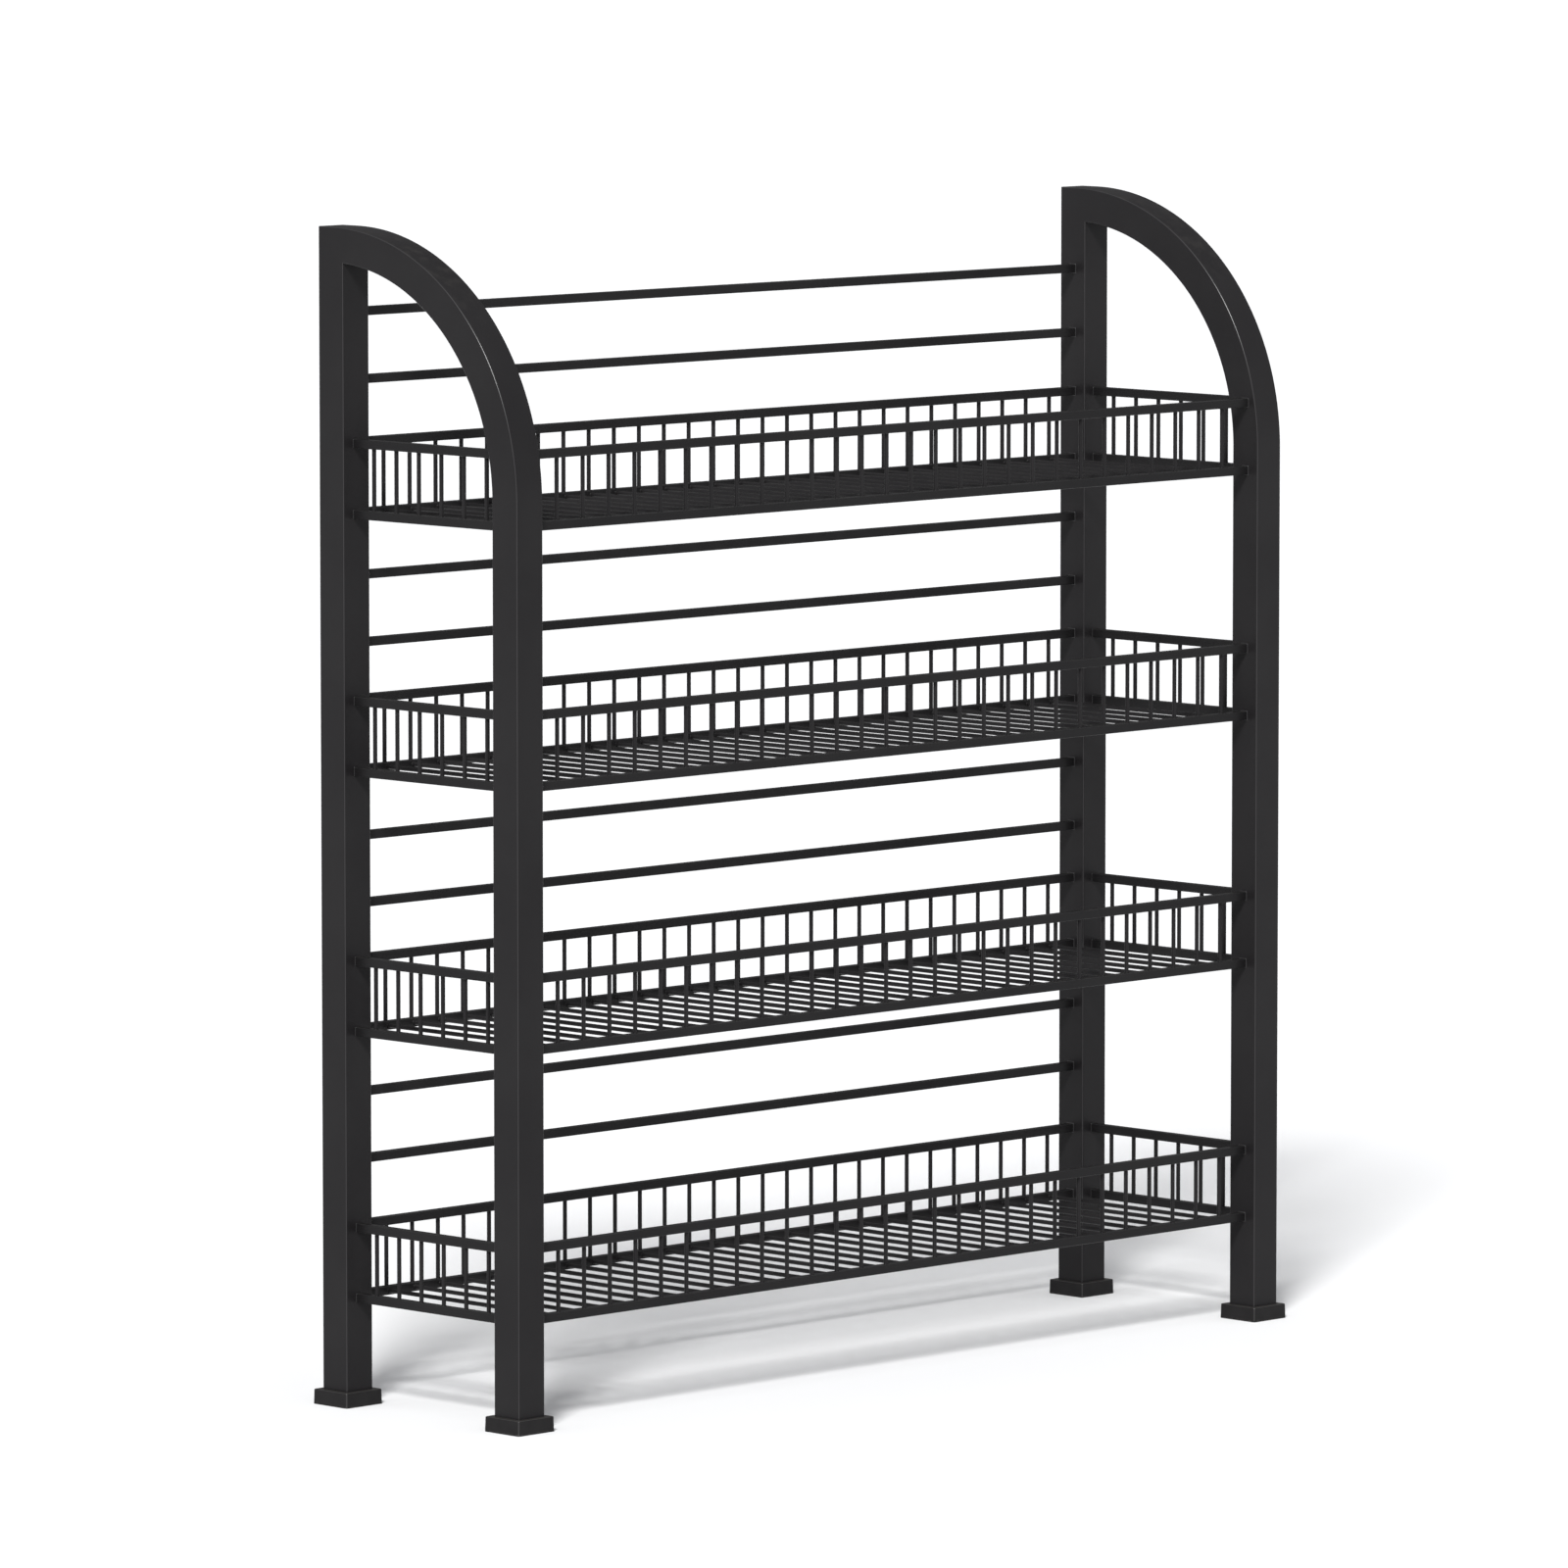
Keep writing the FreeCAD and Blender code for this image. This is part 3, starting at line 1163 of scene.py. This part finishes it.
@dataclass
class Studio:
    """A plain pale floor, a surround that is dimmer behind the rack, one broad light, and the camera."""

    floor_width: float = 500.0
    dim_side: Colour = (0.18, 0.18, 0.185)
    bright_side: Colour = (0.75, 0.76, 0.78)
    change_begins: float = -0.75
    change_ends: float = -0.1
    sun_power: float = 4.4
    sun_azimuth: float = -54.0
    sun_elevation: float = 42.0
    sun_spread: float = 12.0
    view_azimuth: float = -44.995
    view_elevation: float = 5.91
    view_distance: float = 13.295
    aim_offset: Triple = (-0.0221, 0.0227, 0.0045)
    lens: float = 265.55
    sensor: float = 36.0

    @staticmethod
    def direction(azimuth: float, elevation: float) -> Vector:
        """The way from the rack to something that looks at it.

        Args:
            azimuth: Degrees round from the front, positive to the right.
            elevation: Degrees above the horizon.

        Returns:
            A unit vector.
        """
        turn, lift = math.radians(azimuth), math.radians(elevation)
        return Vector(
            (math.sin(turn) * math.cos(lift), -math.cos(turn) * math.cos(lift), math.sin(lift))
        )

    def floor(self) -> None:
        """Lays the floor."""
        clear_selection()
        bpy.ops.mesh.primitive_plane_add(size=self.floor_width, location=(0.0, 0.0, 0.0))
        floor = bpy.context.active_object
        floor.name = "studio_floor"
        floor.data.materials.append(PaleFloor().material())

    def lights(self) -> None:
        """Sets the surround and the broad light."""
        world = bpy.data.worlds.new("pale_surround")
        graph = Graph(world)
        ahead = tuple(self.direction(self.view_azimuth, 0.0))
        way = graph.node("ShaderNodeTexCoord").outputs["Generated"]
        turned = graph.node("ShaderNodeVectorMath", {"operation": "DOT_PRODUCT"}, {0: way, 1: ahead})
        facing = Value(graph, turned.outputs["Value"])
        share = facing.rise(self.change_begins, self.change_ends)
        tone = graph.blend(share, self.dim_side, self.bright_side)
        glow = graph.node("ShaderNodeBackground", None, {"Color": tone, "Strength": 1.0})
        graph.node("ShaderNodeOutputWorld", None, {"Surface": glow.outputs[0]})
        bpy.context.scene.world = world
        back = self.direction(self.sun_azimuth, self.sun_elevation)
        bpy.ops.object.light_add(type="SUN", rotation=back.to_track_quat("Z", "Y").to_euler())
        sun = bpy.context.active_object
        sun.name = "broad_soft_light"
        sun.data.energy = self.sun_power
        sun.data.angle = math.radians(self.sun_spread)

    def camera(self) -> None:
        """Places the camera and aims it near the rack's middle."""
        back = self.direction(self.view_azimuth, self.view_elevation)
        target = (CAD_BOX[0] + CAD_BOX[1]) / 2 + Vector(self.aim_offset)
        turn = (-back).to_track_quat("-Z", "Y").to_euler()
        bpy.ops.object.camera_add(location=target + back * self.view_distance, rotation=turn)
        camera = bpy.context.active_object
        camera.name = "rack_camera"
        camera.data.lens = self.lens
        camera.data.sensor_width = self.sensor
        camera.data.clip_end = self.floor_width
        bpy.context.scene.camera = camera
        bpy.context.scene.view_settings.view_transform = "Standard"

    def build(self) -> None:
        """Makes the whole setting."""
        self.floor()
        self.lights()
        self.camera()
        LOG.info("studio: floor, surround, light and camera")


def main() -> None:
    """Builds the setting and every sub-assembly in order."""
    logging.basicConfig(level=logging.INFO, format="%(name)s: %(message)s")
    Studio().build()
    frame_coat = PowderCoat("coat_on_frame_tube", Corners.ACROSS_X).material()
    # The rail and end rail coats use the darker colours: painted shade on the rails.
    rail_coat = PowderCoat("coat_on_rail", Corners.ALONG_X, RAIL_FILM_PAINTED_SHADE, RAIL_CLOUD_PAINTED_SHADE).material()
    end_coat = PowderCoat("coat_on_end_rail", Corners.ACROSS_X, RAIL_FILM_PAINTED_SHADE, RAIL_CLOUD_PAINTED_SHADE).material()
    wire_coat = PowderCoat("coat_on_wire", Corners.NONE).material()
    frames = SideFrame(frame_coat)
    frames.build()
    Feet(MouldedPlastic().material()).build()
    LongRails(rail_coat).build()
    EndRails(end_coat, frames).build()
    WireWork(wire_coat).build()
    left_over = [name for name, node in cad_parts.items() if not node.hide_render]
    LOG.info("%d CAD nodes, %d of them still shown", len(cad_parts), len(left_over))


if __name__ == "__main__":
    main()
